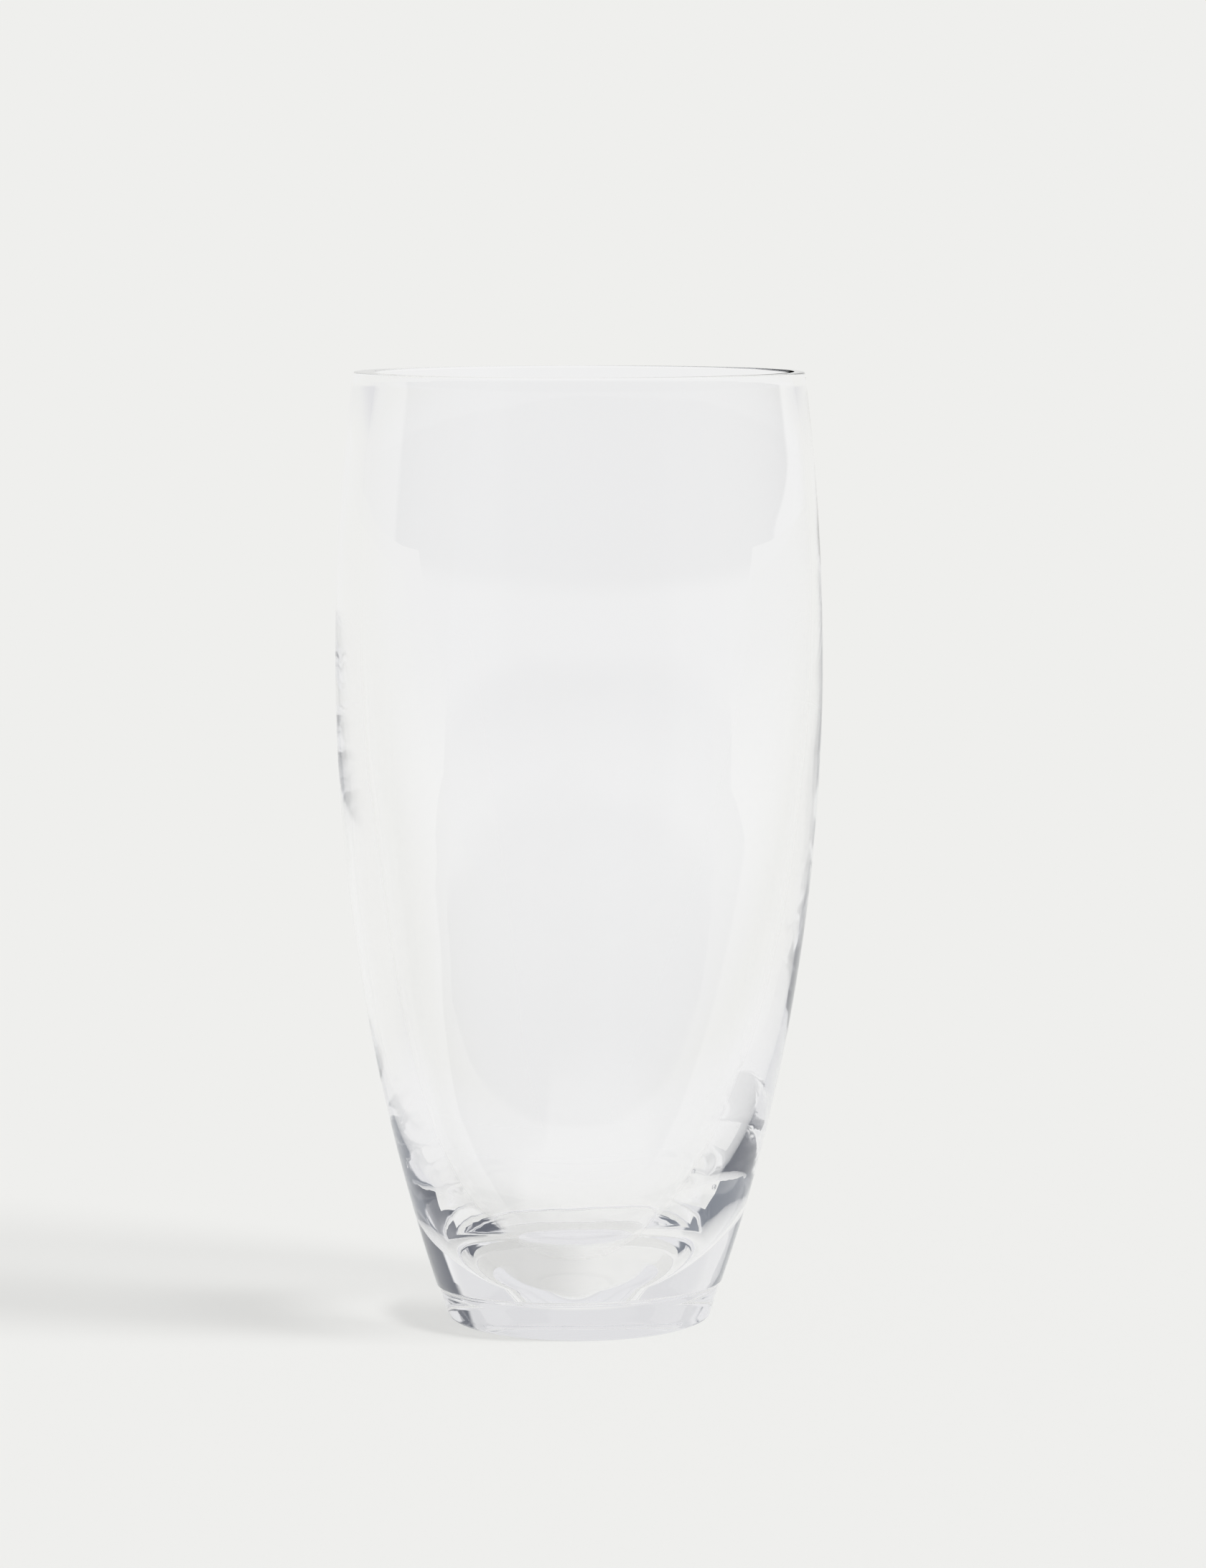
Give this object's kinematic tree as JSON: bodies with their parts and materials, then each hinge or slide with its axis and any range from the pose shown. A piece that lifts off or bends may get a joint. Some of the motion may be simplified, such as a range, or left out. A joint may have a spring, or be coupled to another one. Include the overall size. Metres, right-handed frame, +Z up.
{
  "type": "glass vase",
  "caption": "Tall barrel-shaped clear glass vase with a wide open mouth, a thick wall, a rounded inside bottom and a solid stepped foot.",
  "frame": {"origin": "on the surface the vase stands on, below the centre of the foot", "axes": "+Z up the vase's axis, towards the mouth"},
  "size_m": [0.1535, 0.1534, 0.3],
  "materials": {
    "clear_glass": "clear, fire-polished"
  },
  "bodies": {
    "root": {"blown_body": "clear_glass", "foot": "clear_glass"}
  },
  "joints": []
}
